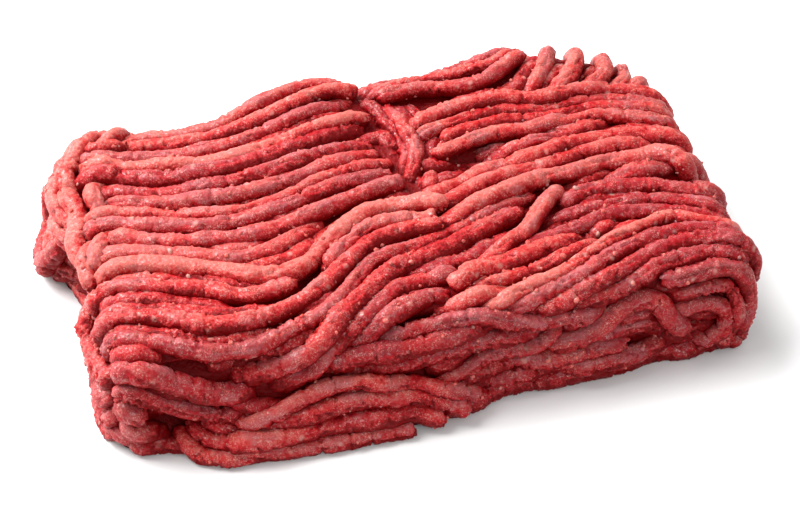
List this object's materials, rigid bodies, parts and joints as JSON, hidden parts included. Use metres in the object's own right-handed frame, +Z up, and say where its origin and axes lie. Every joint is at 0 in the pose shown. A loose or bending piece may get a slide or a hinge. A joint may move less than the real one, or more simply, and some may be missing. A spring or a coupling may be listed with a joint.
{
  "type": "block of minced meat",
  "caption": "Low rounded block of raw minced meat: thick round strands laid side by side in wavy ribbons, folded over the edges, on a flat underside.",
  "frame": {"origin": "middle of the bounding box of the block, on the surface it lies on", "axes": "+X along the block's length to its right end, +Y to its back, +Z up"},
  "size_m": [0.1994, 0.124, 0.042],
  "materials": {
    "meat": "raw minced beef: moist, pebbly red strands, coral where lit, dark maroon in the gaps, with pale fat flecks"
  },
  "bodies": {
    "root": {"mince_block": "meat"}
  },
  "joints": []
}
